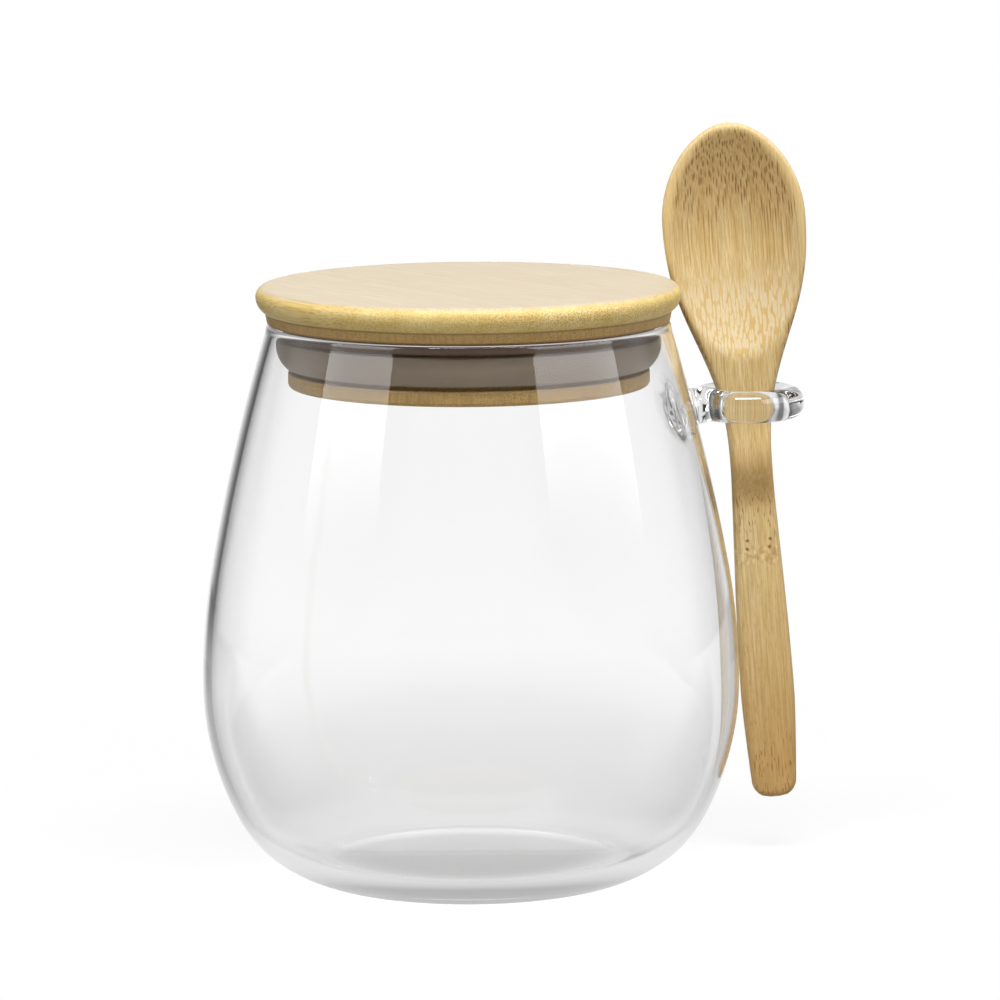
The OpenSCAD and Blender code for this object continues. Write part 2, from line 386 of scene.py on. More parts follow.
def spoon_bamboo():
    pale_pith = rgb(227, 205, 153)
    deep_pith = rgb(211, 182, 121)
    # Painted shade of the light falling off towards the handle's end
    end_shade_brown = rgb(185, 147, 87)
    # Painted shadow of the loop
    loop_shadow_brown = rgb(186, 143, 82)
    # Painted shade of the hollow's upper wall
    hollow_shade_brown = rgb(192, 146, 82)
    fine_line = rgb(202, 158, 80)
    streak_bowl = rgb(188, 140, 66)
    # Streaks darkened by the same painted shade at the handle's end
    streak_end_shade = rgb(168, 116, 54)
    # Cut fibre ends: a dark fleck in painted shade, pale cells and their gaps in painted light
    shaded_fleck = rgb(136, 90, 44)
    lit_cell_gap = rgb(200, 164, 96)
    lit_cell_pale = rgb(217, 200, 162)
    stroke_brown = rgb(146, 94, 38)
    # Rim: its own paler wood with a painted highlight
    rim_pale_highlight = rgb(222, 193, 132)
    mottle_dark = rgb(170, 130, 76)
    mottle_pale = rgb(238, 214, 160)
    scar_brown = rgb(108, 78, 30)
    finish = Finish(bpy.data.materials.new("spoon_bamboo"))
    axes = [tuple(spoon_place.col[i])[:3] for i in range(3)]
    x, y, t = finish.place(tuple(spoon_place.translation), axes)
    gap, own, hair, broad = bamboo(finish, t, x, y * 0.6, 0.5, 1.2, 0.06)
    fuzz = finish.noise(finish.vector(x * 5.0, y * 5.0, t * 1.2), 1.0, 3.0, 0.6)
    fuzz = finish.rise(fuzz, 0.3, 0.7)
    fine = finish.noise(finish.vector(x * 5.5, y * 3.0, t * 0.16), 1.0, 2.0, 0.6)
    fine = finish.rise(fine, 0.38, 0.62)
    facing = finish.node("ShaderNodeNewGeometry", out="Normal")
    lift = finish.dot(facing, axes[2])
    bowl_low = bowl_mid - bowl_half
    in_bowl = finish.rise(t, bowl_low - 4, bowl_low + 2)
    # Faces of the hollow that look down get painted shade, those that look up painted light
    cut_facing_down_shade = finish.rise(lift, 0.02, -0.22) * in_bowl
    cut_facing_up_light = finish.rise(lift, 0.03, 0.22) * in_bowl

    # Pith, with painted shade at the handle's end, in the loop's shadow below the loop and on the hollow's
    # upper wall
    ground = finish.colour_of(pale_pith, deep_pith, broad * 0.5 + hair * 0.5)
    # Painted shade: darker and browner towards the handle's end, where the light falls off
    low_end_shade = finish.rise(t, 48, 4)
    ground = finish.colour_of(ground, end_shade_brown, low_end_shade * 0.9)
    # Painted shadow of the loop's front arm, cast by the light from above
    loop_shadow = finish.rise(abs(t - LOOP_SHADOW_T), 8, 2)
    ground = finish.colour_of(ground, loop_shadow_brown, loop_shadow * 0.55)
    # Painted shade on the hollow's upper wall, which looks down away from the light
    ground = finish.colour_of(ground, hollow_shade_brown, cut_facing_down_shade * 0.3)
    ground = finish.colour_of(ground, fine_line, (1 - fine) * 0.4)
    ground = finish.dim(ground, 0.8 + 0.1 * hair + 0.08 * fuzz + 0.16 * fine)

    # Bundles: streaks along the face. Their cut ends, the wood's own, show as dark flecks in painted shade
    # where the face looks down and as pale cells in painted light where it looks up
    core = finish.rise(gap, 0.38, 0.12)
    strong = core * finish.rise(own, -0.3, 0.8)
    streak = finish.colour_of(streak_bowl, streak_end_shade, low_end_shade)
    hollow = finish.rise(t, bowl_low - 12, bowl_mid - 4)
    colour = finish.colour_of(ground, streak, strong * (0.3 + 0.45 * hollow))
    colour = finish.colour_of(colour, shaded_fleck, strong * cut_facing_down_shade * 0.78)
    sheath = finish.rise(gap, 0.54, 0.36)
    colour = finish.colour_of(colour, lit_cell_gap, (1 - sheath) * cut_facing_up_light * 0.6)
    colour = finish.colour_of(colour, lit_cell_pale, sheath * cut_facing_up_light * 0.8)

    # Short dark strokes on the flats, most of them over the node and at the handle's end
    stroke = finish.noise(finish.vector(x * 3.2, y * 3.2, t * 0.42 + 40.0), 1.0, 1.0)
    stroke = finish.rise(stroke, 0.6, 0.68) * (1 - hollow)
    often = 0.2 + 0.6 * finish.rise(t, 18, 6) + 0.6 * finish.rise(abs(t - STROKES_T), 6, 3)
    colour = finish.colour_of(colour, stroke_brown, stroke * often)

    # Pale rim round the hollow: partly its own smoother, paler wood, partly a painted highlight where it
    # catches the light
    rim_highlight = (x / hollow_side) ** 2 + ((t - bowl_mid) / bowl_half) ** 2
    rim_highlight = finish.rise(rim_highlight, 1.02, 1.07) * finish.rise(t, bowl_mid - 12, bowl_mid + 2)
    colour = finish.colour_of(colour, rim_pale_highlight, rim_highlight * 0.5)

    # Node of the stalk on the handle's front: a mottled band under two pairs of leaf scars
    front = finish.rise(y, 1.5, 0.5)
    band = finish.rise(abs(t - NODE_T), 2.6, 0.9) * front
    mottle = finish.noise(finish.vector(x, y, t * 0.8), 1.3, 2.0)
    colour = finish.colour_of(colour, mottle_dark, band * finish.rise(mottle, 0.52, 0.66) * 0.5)
    colour = finish.colour_of(colour, mottle_pale, band * finish.rise(mottle, 0.48, 0.36) * 0.5)
    for scar_x, scar_t in NODE_SCARS:
        reach = ((x - scar_x) ** 2 + (t - scar_t) ** 2) ** 0.5
        colour = finish.colour_of(colour, scar_brown, finish.rise(reach, 0.42, 0.2) * front * 0.85)

    inputs = {
        "Base Color": colour,
        "Roughness": 0.5 + 0.12 * hair,
        "IOR": 1.45,
        "Normal": finish.bump(hair * 0.4 - strong * 0.5, 0.25, 0.00015),
    }
    finish.close(finish.node("ShaderNodeBsdfPrincipled", None, inputs))
    return finish.owner


def grey_silicone():
    deep_grey = rgb(138, 122, 104)
    pale_grey = rgb(150, 135, 116)
    finish = Finish(bpy.data.materials.new("grey_silicone"))
    x, y, z = finish.place()
    cloud = finish.noise(finish.vector(x, y, z), 0.15, 3.0)
    lines = finish.noise(finish.vector(0.0, 0.0, z), 1.6, 2.0)
    inputs = {
        "Base Color": finish.colour_of(deep_grey, pale_grey, cloud * 0.5 + lines * 0.5),
        "Roughness": 0.36 + 0.12 * cloud,
        "IOR": 1.41,
        "Subsurface Weight": 0.25,
        "Subsurface Radius": (0.004, 0.0035, 0.003),
        "Subsurface Scale": 0.5,
    }
    finish.close(finish.node("ShaderNodeBsdfPrincipled", None, inputs))
    return finish.owner


# Meshes

def smooth(u):
    v = np.clip(u, 0, 1)
    return v * v * (3 - 2 * v)


def mix(a, b, u):
    return a + (b - a) * u


def polar(centre, radius, angle):
    turn = math.radians(angle)
    return np.array(centre) + radius * np.array([math.cos(turn), math.sin(turn)])


def arc(centre, radius, first, last, steps=40):
    return [polar(centre, radius, mix(first, last, i / steps)) for i in range(steps + 1)]


def resample(path, step):
    """The path with points about step apart, where step is a number or a function of a point."""
    path = np.array(path, float)
    gaps = np.linalg.norm(np.diff(path, axis=0), axis=1)
    keep = np.concatenate([[True], gaps > 1e-9])
    path = path[keep]
    gaps = gaps[keep[1:]]
    run = np.concatenate([[0], np.cumsum(gaps)])
    if callable(step):
        mid = (path[1:] + path[:-1]) / 2
        cost = np.concatenate([[0], np.cumsum(gaps / np.array([step(p) for p in mid]))])
    else:
        cost = run / step
    count = max(int(round(cost[-1])), 1)
    places = np.interp(np.linspace(0, cost[-1], count + 1), cost, run)
    return np.stack([np.interp(places, run, path[:, k]) for k in range(2)], axis=1)


def soften(path, reach, fineness=6):
    """Rounds the path's corners over about reach, and keeps its two ends."""
    fine = resample(path, reach / fineness)
    span = 3 * fineness
    weights = np.exp(-0.5 * (np.arange(-span, span + 1) / fineness) ** 2)
    weights /= weights.sum()
    before = 2 * fine[0] - fine[1:span + 1][::-1]
    after = 2 * fine[-1] - fine[-span - 1:-1][::-1]
    padded = np.concatenate([before, fine, after])
    return np.stack([np.convolve(padded[:, k], weights, "valid") for k in range(2)], axis=1)


def turned(path, columns):
    """Points, faces and rows of a path of (radius, height) turned about Z; ends on the axis close there."""
    angles = 2 * math.pi * np.arange(columns) / columns
    points = []
    faces = []
    rows = []
    for radius, height in path:
        if radius < 1e-6:
            rows.append([len(points)] * columns)
            points.append((0.0, 0.0, height))
        else:
            rows.append(list(range(len(points), len(points) + columns)))
            points.extend((radius * math.cos(a), radius * math.sin(a), height) for a in angles)
    for low, high in zip(rows, rows[1:]):
        for j in range(columns):
            k = (j + 1) % columns
            face = [low[j], low[k], high[k], high[j]]
            faces.append([v for i, v in enumerate(face) if v not in face[:i]])
    return points, faces, rows


def make_piece(name, points, faces, material, place=None):
    """A smooth mesh object from points in millimetres, moved by place."""
    mesh = bpy.data.meshes.new(name)
    mesh.from_pydata([tuple(float(c) * MM for c in p) for p in points], [], faces)
    if place is not None:
        mesh.transform(place)
    mesh.validate()
    mesh.polygons.foreach_set("use_smooth", [True] * len(mesh.polygons))
    mesh.materials.append(material)
    piece = bpy.data.objects.new(name, mesh)
    bpy.context.scene.collection.objects.link(piece)
    return piece


# Jar: tangent arcs for heel, lower belly, upper belly and shoulder, as the solid has them
low_c = (BELLY_R - LOW_R, BELLY_Z)
high_c = (BELLY_R - HIGH_R, BELLY_Z)
heel_c = polar(low_c, LOW_R - HEEL_R, -LOW_TURN)
heel_turn = math.degrees(math.asin(heel_c[1] / HEEL_R))
shoulder_p = polar(high_c, HIGH_R, HIGH_TURN)
lip_p = np.array([LIP_R, JAR_H - LIP_H])
lip_rise = lip_p - shoulder_p
shoulder_r = -(lip_rise @ lip_rise) / (2 * lip_rise @ polar((0, 0), 1, HIGH_TURN))
shoulder_c = shoulder_p - polar((0, 0), shoulder_r, HIGH_TURN)
lip_turn = math.degrees(math.asin((lip_p[1] - shoulder_c[1]) / shoulder_r))
sin_low = math.sin(math.radians(LOW_TURN))
heel_in_r = (BELLY_Z - FLOOR_T - (LOW_R - WALL) * sin_low) / (1 - sin_low)
heel_in_c = polar(low_c, LOW_R - WALL - heel_in_r, -LOW_TURN)
lip_c = (LIP_R - WALL / 2, JAR_H - WALL / 2)
foot_r = heel_c[0] + HEEL_R * math.cos(math.radians(heel_turn))


def jar_path():
    """Half of the jar's section, from the middle of its underside round the lip to its floor's middle."""
    under = [(r, PUNT * max(1 - (r / PUNT_R) ** 2, 0)) for r in np.linspace(0, foot_r, 60)]
    outside = arc(heel_c, HEEL_R, -heel_turn, -LOW_TURN) + arc(low_c, LOW_R, -LOW_TURN, 0)
    outside += arc(high_c, HIGH_R, 0, HIGH_TURN) + arc(shoulder_c, shoulder_r, HIGH_TURN, lip_turn)
    lip = arc(lip_c, WALL / 2, 0, 180)
    inside = arc(shoulder_c, shoulder_r - WALL, lip_turn, HIGH_TURN)
    inside += arc(high_c, HIGH_R - WALL, HIGH_TURN, 0) + arc(low_c, LOW_R - WALL, 0, -LOW_TURN)
    inside += arc(heel_in_c, heel_in_r, -LOW_TURN, -90)
    floor = [(0, FLOOR_T)]
    whole = soften(under + outside + lip + inside + floor, GLASS_SOFT)
    whole[0, 0] = 0
    whole[-1, 0] = 0

    def step(point):
        at_mouth = point[1] > JAR_H - MOUTH_BAND and point[0] < LIP_R + 1
        return MOUTH_STEP if at_mouth else WALL_STEP
    return resample(whole, step)


def near_min(a, b, reach):
    """Smaller of two distances, with a fillet where both are about the same."""
    h = np.clip(1 - np.abs(a - b) / reach, 0, 1)
    return np.minimum(a, b) - h * h * reach / 4


def glass_distance(p):
    """Distance from the outside of wall, neck and loop, fused with fillets."""
    wall_d = np.hypot(np.hypot(p[:, 0], p[:, 1]) - shoulder_c[0], p[:, 2] - shoulder_c[1]) - shoulder_r
    dx = p[:, 0] - LOOP_REACH
    dz = p[:, 2] - LOOP_Z
    flat = (ROD_H - ROD_W) / 2
    rod_d = np.hypot(np.hypot(dx, p[:, 1]) - LOOP_R, np.maximum(np.abs(dz) - flat, 0)) - ROD_W / 2
    along = np.clip(p[:, 0], NECK_START, LOOP_REACH - LOOP_R)
    neck_d = np.sqrt((p[:, 0] - along) ** 2 + p[:, 1] ** 2 + dz ** 2) - ROD_W / 2
    return near_min(near_min(rod_d, neck_d, NECK_FILLET), wall_d, FLARE)


def settle(points):
    """Moves points on to the fused outside."""
    p = np.array(points, float)
    small = 1e-3
    longest = 0.5
    for _ in range(12):
        d = glass_distance(p)
        slope = np.stack([
            (glass_distance(p + small * axis) - glass_distance(p - small * axis)) / (2 * small)
            for axis in np.eye(3)
        ], axis=1)
        size = np.maximum((slope ** 2).sum(1), 0.05)
        p -= (np.clip(d, -longest, longest) / size)[:, None] * slope
    return p


def make_jar(material):
    """The jar with the loop grown out of its wall: one closed skin, as fused glass is."""
    path = jar_path()
    points, faces, rows = turned(path, JAR_COLUMNS)
    lip_row = int(np.argmax(path[:, 1]))
    outer_rows = [i for i, p in enumerate(path) if p[0] > LIP_R + 0.5 and i < lip_row]
    first = min(outer_rows, key=lambda i: abs(path[i][1] - LOOP_Z)) - WINDOW
    last = first + 2 * WINDOW
    columns = [j % JAR_COLUMNS for j in range(-WINDOW, WINDOW + 1)]
    inside_window = set()
    for i in range(first, last + 1):
        for j in columns:
            inside_window.add(rows[i][j])
    faces = [f for f in faces if not all(v in inside_window for v in f)]
    edge = [rows[first][j] for j in columns[:-1]]
    edge += [rows[i][columns[-1]] for i in range(first, last)]
    edge += [rows[last][j] for j in columns[:0:-1]]
    edge += [rows[i][columns[0]] for i in range(last, first, -1)]

    # Ring of glass rod, open towards the neck
    start = len(points)
    half = RING_COLUMNS // 2

    def ring(i, j):
        return start + (i % RING_COLUMNS) * ROD_COLUMNS + j % ROD_COLUMNS
    for i in range(RING_COLUMNS):
        turn = 2 * math.pi * i / RING_COLUMNS
        for j in range(ROD_COLUMNS):
            lift = 2 * math.pi * j / ROD_COLUMNS
            reach = LOOP_R + ROD_W / 2 * math.cos(lift)
            height = LOOP_Z + ROD_H / 2 * math.sin(lift)
            points.append((LOOP_REACH + reach * math.cos(turn), reach * math.sin(turn), height))
    for i in range(RING_COLUMNS):
        for j in range(ROD_COLUMNS):
            side = (i - half) in range(-WINDOW, WINDOW)
            front = (j + ROD_COLUMNS // 2) % ROD_COLUMNS - ROD_COLUMNS // 2 in range(-WINDOW, WINDOW)
            if not (side and front):
                faces.append([ring(i, j), ring(i + 1, j), ring(i + 1, j + 1), ring(i, j + 1)])
    span = range(-WINDOW, WINDOW)
    gate = [ring(half - i, -WINDOW) for i in span]
    gate += [ring(half - WINDOW, j) for j in span]
    gate += [ring(half + i, WINDOW) for i in span]
    gate += [ring(half + WINDOW, -j) for j in span]

    # Neck between the two openings
    before = edge
    for k in range(1, NECK_RINGS + 1):
        share = k / (NECK_RINGS + 1)
        now = []
        for e, g in zip(edge, gate):
            a = np.array(points[e])
            c = np.array(points[g])
            middle = np.array([0, LOOP_Z])
            out = a[1:] - middle
            waist = middle + out / np.linalg.norm(out) * NECK_WAIST
            b = np.concatenate([[a[0] + NECK_OUT], waist])
            now.append(len(points))
            points.append((1 - share) ** 2 * a + 2 * share * (1 - share) * b + share ** 2 * c)
        for i in range(len(now)):
            after = (i + 1) % len(now)
            faces.append([before[i], before[after], now[after], now[i]])
        before = now
    for i in range(len(gate)):
        after = (i + 1) % len(gate)
        faces.append([before[i], before[after], gate[after], gate[i]])

    points = np.array([tuple(p) for p in points])
    loose = np.arange(len(points)) >= start
    near_foot = np.hypot(points[:, 1], points[:, 2] - LOOP_Z) < FLARE_REACH
    on_outside = np.zeros(len(points), bool)
    for i in outer_rows:
        on_outside[rows[i]] = True
    moving = loose | (near_foot & on_outside & (points[:, 0] > 0))
    points[moving] = settle(points[moving])

    # The hot rod draws the wall out a little behind the neck
    inner = np.zeros(len(points), bool)
    for i in range(lip_row, len(path)):
        inner[rows[i]] = True
    gap = np.hypot(points[:, 1], points[:, 2] - LOOP_Z - DRAW_RISE)
    points[:, 0] += np.where(inner & (points[:, 0] > 0), DRAW * np.exp(-(gap / DRAW_REACH) ** 2), 0)

    used = sorted({v for f in faces for v in f})
    number = {v: i for i, v in enumerate(used)}
    faces = [[number[v] for v in f] for f in faces]
    return make_piece("jar_glass", points[used], faces, material)


def make_lid(material):
    under_c = (LID_R - LID_UNDER_R, LID_EDGE)
    crease = math.degrees(math.asin((LID_EDGE - JAR_H - SHOULDER_H) / LID_UNDER_R))
    top_r = LID_TOP - LID_EDGE
    body = [(0, PLUG_LOW)] + arc((PLUG_R - PLUG_ROUND, PLUG_LOW + PLUG_ROUND), PLUG_ROUND, -90, 0)
    body += [(PLUG_R, SEAL_LOW - GROOVE_GAP), (PLUG_R - GROOVE, SEAL_LOW - GROOVE_GAP)]
    body += [(PLUG_R - GROOVE, SEAL_HIGH), (PLUG_R, SEAL_HIGH)]
    body += [(PLUG_R, LID_SIT), (SHOULDER_R, LID_SIT)] + arc(under_c, LID_UNDER_R, -crease, 0)
    body += arc((LID_R - top_r, LID_EDGE), top_r, 0, 90) + [(0, LID_TOP)]
    path = soften(body, LID_SOFT)
    path[0, 0] = 0
    path[-1, 0] = 0

    def step(point):
        flat = point[0] < PLUG_R - 3
        return LID_FLAT_STEP if flat else LID_EDGE_STEP
    points, faces, _ = turned(resample(path, step), LID_COLUMNS)
    return make_piece("lid_wood", points, faces, material)


def make_seal(material):
    taper = SEAL_R - SEAL_FOOT_R
    back = PLUG_R - GROOVE
    shares = np.linspace(0, 1, 24)
    body = [(back, SEAL_LOW)]
    body += [(SEAL_R - taper * (1 - u) ** SEAL_BEND, mix(SEAL_LOW, SEAL_FULL, u)) for u in shares]
    body += [(SEAL_R - SEAL_CROWN * u ** 2, mix(SEAL_FULL, SEAL_HIGH, u)) for u in shares]
    body += [(back, SEAL_HIGH), (back, SEAL_LOW)]
    path = resample(soften(body, SEAL_SOFT), SEAL_STEP)
    path[-1] = path[0]
    points, faces, rows = turned(path, LID_COLUMNS)
    closing = dict(zip(rows[-1], rows[0]))
    faces = [[closing.get(v, v) for v in f] for f in faces]
    return make_piece("seal_ring", points[:-LID_COLUMNS], faces, material)


# Spoon, measured along its length from the handle's end
neck_t = SPOON_L * 0.492
bowl_t = SPOON_L * 0.856
flare_t = SPOON_L * 0.15
end_round = 3.4
step_t = SPOON_L * 0.435
step_front = 9
step_back = 10
neck_back = 1.2
scoop_t = SPOON_L * 0.64
scoop_run = SPOON_L * 0.17
bowl_mid = SPOON_L * 0.823
bowl_half = SPOON_L * 0.165
rim_y = -3.0
hollow_side = BOWL_W / 2 - BOWL_RIM
hollow_r = (hollow_side ** 2 + BOWL_DEPTH ** 2) / (2 * BOWL_DEPTH)
hollow_arc = (bowl_half ** 2 + BOWL_DEPTH ** 2) / (2 * BOWL_DEPTH)
back_depth = BOWL_DEPTH + BOWL_FLOOR
back_edge = 2
back_y = ((BOWL_W / 2) ** 2 + back_edge ** 2 - back_depth ** 2) / (2 * (back_depth - back_edge))
back_r = back_y + back_depth
back_drop = back_depth - BOWL_TIP
back_arc = ((SPOON_L - bowl_mid) ** 2 + back_drop ** 2) / (2 * back_drop)

spoon_place = Matrix.Translation(Vector((LOOP_REACH, 0, LOOP_Z)) * MM)
spoon_place = spoon_place @ Matrix.Rotation(math.radians(-SPOON_LEAN), 4, "Y")
spoon_place = spoon_place @ Matrix.Rotation(math.radians(SPOON_TURN), 4, "Z")
spoon_place = spoon_place @ Matrix.Translation((0, 0, -SPOON_DROP * MM))


def handle_half(t):
    end_w = mix(HANDLE_W / 2, HANDLE_W * 0.395, max(1 - t / flare_t, 0) ** 1.3)
    return mix(NECK_W / 2, end_w, smooth(max((neck_t - t) / (neck_t - flare_t), 0) ** 0.8))


def spoon_half(t):
    """Half of the spoon's width at t."""
    if t < end_round:
        corner = math.sqrt(max(1 - (1 - t / end_round) ** 2, 0))
        return handle_half(end_round) - end_round * (1 - corner)
    if t < neck_t:
        return handle_half(t)
    if t < bowl_t:
        share = max((t - neck_t) / (bowl_t - neck_t), 0.001)
        return mix(NECK_W / 2, BOWL_W / 2, smooth(share ** (1.32 - 0.68 * share ** 1.5)))
    return BOWL_W / 2 * max(1 - ((t - bowl_t) / (SPOON_L - bowl_t)) ** 2, 0) ** 0.57


def soft_max(a, b, reach):
    return (a + b + np.sqrt((a - b) ** 2 + reach ** 2)) / 2


def spoon_faces(x, t):
    """Front and back of the spoon at x across it."""
    front = mix(HANDLE_SET - HANDLE_T / 2, rim_y, smooth((t - step_t) / step_front))
    back = mix(HANDLE_SET + HANDLE_T / 2, neck_back, smooth((t - step_t) / step_back))
    back = mix(back, rim_y + 1, smooth((t - scoop_t) / scoop_run))
    off = t - bowl_mid
    girth = hollow_r - hollow_arc + math.sqrt(max(hollow_arc ** 2 - off ** 2, 0))
    hollow = np.sqrt(np.maximum(girth ** 2 - x ** 2, 0)) - (hollow_r - BOWL_DEPTH)
    if abs(off) > bowl_half + 3:
        hollow = np.full_like(x, -5.0)
    shell = back_r - back_arc + math.sqrt(max(back_arc ** 2 - off ** 2, 0))
    belly = rim_y - back_y + np.sqrt(np.maximum(shell ** 2 - x ** 2, 0))
    if abs(off) > SPOON_L - bowl_mid + 14:
        belly = np.full_like(x, -20.0)
    return front + soft_max(hollow, 0, HOLLOW_SOFT), soft_max(back, belly, BACK_SOFT) - BACK_TRIM


def make_spoon(material):
    even = np.linspace(0, 1, SPOON_STATIONS + 1)
    closer = (1 - np.cos(math.pi * even)) / 2
    lengths = SPOON_L * mix(even, closer, 0.35)
    spread = -np.cos(np.linspace(0, math.pi, SPOON_ACROSS + 1))
    points = []
    rows = []
    for t in lengths:
        half = max(spoon_half(float(t)), 1e-3)
        x = spread * half
        front, back = spoon_faces(x, float(t))
        middle = (front[0] + back[0]) / 2
        thick = (back[0] - front[0]) / 2
        edge_r = min(EDGE_ROUND, half, max(thick, 0.5) * 1.1)
        to_edge = np.clip((half - np.abs(x)) / edge_r, 0, 1)
        round_off = np.sqrt(1 - (1 - to_edge) ** 2)
        to_end = np.clip(min(t, SPOON_L - t) / END_ROUND, 0, 1)
        round_off = round_off * math.sqrt(1 - (1 - to_end) ** 2)
        front = middle + (front - middle) * round_off
        back = middle + (back - middle) * round_off
        girdle = [(x[i], front[i], t) for i in range(SPOON_ACROSS + 1)]
        girdle += [(x[i], back[i], t) for i in range(SPOON_ACROSS - 1, 0, -1)]
        rows.append(range(len(points), len(points) + len(girdle)))
        points.extend(girdle)
    faces = []
    for low, high in zip(rows, rows[1:]):
        for i in range(len(low)):
            k = (i + 1) % len(low)
            faces.append([low[i], low[k], high[k], high[i]])
    return make_piece("spoon_wood", points, faces, material, spoon_place)


jar = make_jar(clear_glass())
lid = make_lid(lid_bamboo())
seal = make_seal(grey_silicone())
spoon = make_spoon(spoon_bamboo())

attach(jar, "jar")
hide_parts("jar_body", "spoon_loop")
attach(lid, "lid")
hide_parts("lid")
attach(seal, "lid")
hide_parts("gasket")
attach(spoon, "spoon")
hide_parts("spoon")


# Studio

# Camera, in metres and degrees
VIEW_TURN = -20.0
VIEW_FAR = 1.14286
VIEW_HIGH = 0.24125
VIEW_PITCH = 8.49
VIEW_ROLL = -0.38
VIEW_ASIDE = 0.281
FOCAL = 223.73
SENSOR = 36

# Lamps, in metres; a card fades out over its lowest share
CARD_HIGH = 0.625
CARD_FAR = 1.0
CARD_RADIANCE = 4.7
CARD_FADE = 0.36
KEY_HIGH = 1.18
KEY_FAR = 0.42
KEY_RADIANCE = 22.8
LAMP_AIM = Vector((0, 0, 0.08))

# Levels round the jar as gloss and glass show them, and the fill on everything else. A step is a change of
# level and where it starts and ends: aside to the camera's right, front towards it, height upwards.
BACKDROP = (0.3, -0.2)
LEFT_STEPS = ((-0.95, -0.14, -0.48), (0.24, -0.55, -0.7), (0.6, -0.8, -0.95))
RIGHT_STEPS = ((-0.12, 0.15, 0.35), (-0.7, 0.42, 0.62), (0.65, 0.8, 0.95))
SKY_STEPS = ((-0.28, 0.0, 0.2),)
ROOM_DARK = 0.03
ROOM_STEPS = ((0.75, 0.36, 0.0),)
CEILING = (0.84, 0.95)
FILL = 0.2
FILL_STEPS = ((0.42, -0.4, 0.7),)
SIDE_STEPS = ((0.06, -0.4, -0.9), (0.42, 0.4, 0.9))
SIDE_RISE = (-0.2, 0.2)

# The same for the table, in millimetres: a pale strip that widens behind the jar, with flags beside it
TABLE_LEVEL = 0.44
TABLE_STEPS = ((0.36, 18, 36), (0.2, 30, 320))
TABLE_DIM = 0.16
TABLE_DIM_FRONT = (-120, 40)
TABLE_DIM_FAR = (70, 170)
TABLE_FADE = (60, 290)
TABLE_RINGS = (100, 200, 300, 500)
TABLE_COLUMNS = 96
TABLE_Z = -0.2
STRIP_HALF = 55
STRIP_SPREAD = 0.3
STRIP_EDGE = (0.75, 1.15)
FLAG_LEVEL = 0.43
FLAG_DARK = 0.32
FLAG_DARK_FAR = (190, 480)
FLAG_LEFT = (0, -60)
FLAG_PALE = 0.13
FLAG_RIGHT = (0, 60)
FLAG_SPREAD = 1.3
FLAG_EDGE = (210, 90)
FLAG_FRONT = (90, 40)
BLACK = (0.0, 0.0, 0.0, 1.0)
WHITE = (1.0, 1.0, 1.0, 1.0)
TABLE_BOUNCE = (0.3, 0.3, 0.3, 1.0)
TABLE_PAINT = (0.1, 0.1, 0.1, 1.0)
TABLE_LIFT = 0.87

view_turn = math.radians(VIEW_TURN)
to_camera = Vector((math.sin(view_turn), -math.cos(view_turn), 0))
to_right = Vector((math.cos(view_turn), math.sin(view_turn), 0))
upwards = Vector((0, 0, 1))


def make_camera():
    camera = bpy.data.cameras.new("camera")
    camera.lens = FOCAL
    camera.sensor_width = SENSOR
    camera.clip_start = 0.01
    eye = bpy.data.objects.new("camera", camera)
    bpy.context.scene.collection.objects.link(eye)
    aim = Matrix.Rotation(math.radians(VIEW_TURN - VIEW_ASIDE), 4, "Z")
    aim = aim @ Matrix.Rotation(math.radians(90 - VIEW_PITCH), 4, "X")
    aim = aim @ Matrix.Rotation(math.radians(VIEW_ROLL), 4, "Z")
    eye.matrix_world = Matrix.Translation(to_camera * VIEW_FAR + upwards * VIEW_HIGH) @ aim
    bpy.context.scene.camera = eye


def make_softbox(name, aside, height, far, size, radiance, roll=0.0, card=False):
    """A soft light that faces the jar, at an angle aside from the camera; a card is seen in gloss alone."""
    lamp = bpy.data.lights.new(name, "AREA")
    lamp.shape = "RECTANGLE"
    lamp.size = size[0]
    lamp.size_y = size[1]
    lamp.energy = radiance * math.pi * size[0] * size[1]
    turn = math.radians(aside)
    away = to_camera * math.cos(turn) + to_right * math.sin(turn)
    place = away * far + upwards * height
    aim = (LAMP_AIM - place).to_track_quat("-Z", "Y").to_matrix().to_4x4()
    light = bpy.data.objects.new(name, lamp)
    light.matrix_world = Matrix.Translation(place) @ aim @ Matrix.Rotation(math.radians(roll), 4, "Z")
    light.visible_camera = False
    light.visible_transmission = False
    light.visible_diffuse = not card
    if card:
        finish = Finish(lamp)
        spot = finish.node("ShaderNodeNewGeometry", out="Parametric")
        up = finish.node("ShaderNodeSeparateXYZ", None, {0: spot}, 1)
        colour = finish.colour_of(BLACK, WHITE, finish.rise(up, 0.0, CARD_FADE))
        finish.close(finish.node("ShaderNodeEmission", None, {"Color": colour}), "ShaderNodeOutputLight")
    bpy.context.scene.collection.objects.link(light)


def ray_kinds(finish):
    """Wires for rays straight from the camera, camera rays off gloss or through glass, and all others.

    Scattered light that leaves through the glass is left out: the lamps already shine in through it."""
    names = ("Is Camera Ray", "Is Glossy Ray", "Is Transmission Ray", "Diffuse Depth")
    camera, glossy, through, depth = [finish.node("ShaderNodeLightPath", out=name) for name in names]
    bent = glossy.maths("MAXIMUM", through) * depth.maths("LESS_THAN", 0.5)
    return camera, bent, (1 - camera - bent) * (1 - through)


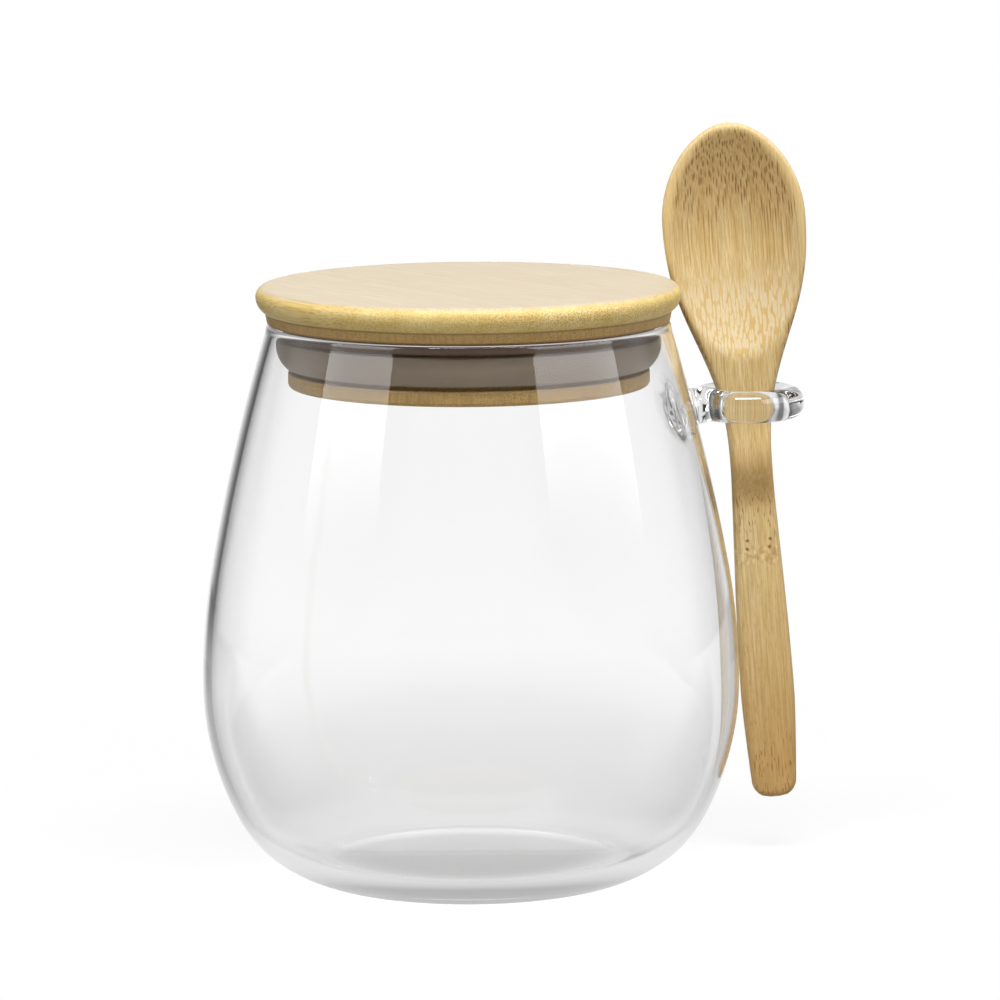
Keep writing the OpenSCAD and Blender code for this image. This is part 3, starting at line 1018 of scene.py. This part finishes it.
def make_world():
    """A white backdrop between black flags, and a pale room round the rest that is dark above."""
    world = bpy.data.worlds.new("studio")
    bpy.context.scene.world = world
    finish = Finish(world)
    camera, bent, others = ray_kinds(finish)
    way = finish.node("ShaderNodeTexCoord", out="Generated")
    aside, front, height = [finish.dot(way, axis) for axis in (to_right, to_camera, upwards)]
    sides = finish.steps(aside, 1.0, LEFT_STEPS) * finish.steps(aside, 1.0, RIGHT_STEPS)
    backdrop = sides * finish.steps(height, 1.0, SKY_STEPS)
    room = finish.steps(height, ROOM_DARK, ROOM_STEPS)
    seen = room + (backdrop - room) * finish.rise(front, *BACKDROP)
    seen = seen.maths("MAXIMUM", finish.rise(height, *CEILING))
    fill = finish.steps(front, FILL, FILL_STEPS)
    fill = fill + finish.steps(aside, 0.0, SIDE_STEPS) * finish.rise(height, *SIDE_RISE)
    colour = finish.colour_of(BLACK, WHITE, camera + bent * seen + others * fill)
    finish.close(finish.node("ShaderNodeBackground", None, {"Color": colour}), "ShaderNodeOutputWorld")


def make_floor():
    """A pale table that fades into the white round it."""
    finish = Finish(bpy.data.materials.new("pale_floor"))
    x, y, _ = finish.place()
    far = (x * x + y * y) ** 0.5
    camera, bent, _ = ray_kinds(finish)
    aside = x * to_right.x + y * to_right.y
    front = x * to_camera.x + y * to_camera.y
    behind = (0 - front).maths("MAXIMUM", 0.0)
    flagged = finish.rise(abs(aside) / (STRIP_HALF + STRIP_SPREAD * behind), *STRIP_EDGE)
    flagged = flagged * finish.rise(abs(aside) - FLAG_SPREAD * behind, *FLAG_EDGE)
    flagged = flagged * finish.rise(front, *FLAG_FRONT)
    table = finish.steps(far, TABLE_LEVEL, TABLE_STEPS)
    table = table - TABLE_DIM * finish.rise(front, *TABLE_DIM_FRONT) * finish.rise(far, *TABLE_DIM_FAR)
    flag = FLAG_LEVEL - FLAG_DARK * finish.rise(far, *FLAG_DARK_FAR) * finish.rise(aside, *FLAG_LEFT)
    flag = flag + FLAG_PALE * finish.rise(aside, *FLAG_RIGHT)
    level = camera + bent * (table + (flag - table) * flagged)
    fade = camera * finish.rise(far, *TABLE_FADE) + bent
    bounce = finish.node("ShaderNodeBsdfDiffuse", None, {"Color": TABLE_BOUNCE})
    paint = finish.node("ShaderNodeBsdfDiffuse", None, {"Color": TABLE_PAINT})
    lift = finish.node("ShaderNodeEmission", None, {"Color": WHITE, "Strength": TABLE_LIFT})
    near = finish.node("ShaderNodeAddShader", None, {0: paint, 1: lift})
    plain = finish.node("ShaderNodeEmission", None, {"Color": finish.colour_of(BLACK, WHITE, level)})
    shown = finish.node("ShaderNodeMixShader", None, {0: fade, 1: near, 2: plain})
    finish.close(finish.node("ShaderNodeMixShader", None, {0: camera + bent, 1: bounce, 2: shown}))
    points, faces, _ = turned([(r, TABLE_Z) for r in (0,) + TABLE_RINGS], TABLE_COLUMNS)
    floor = make_piece("floor", points, [f[::-1] for f in faces], finish.owner)


make_camera()
make_softbox("card_left", -66, CARD_HIGH, CARD_FAR, (0.81, 0.84), CARD_RADIANCE, roll=9.1, card=True)
make_softbox("card_right", 65, CARD_HIGH, CARD_FAR, (1.06, 0.82), CARD_RADIANCE, roll=-9.0, card=True)
make_softbox("softbox_key", 8, KEY_HIGH, KEY_FAR, (0.8, 0.28), KEY_RADIANCE)
make_world()
make_floor()
bpy.context.scene.view_settings.view_transform = "Standard"
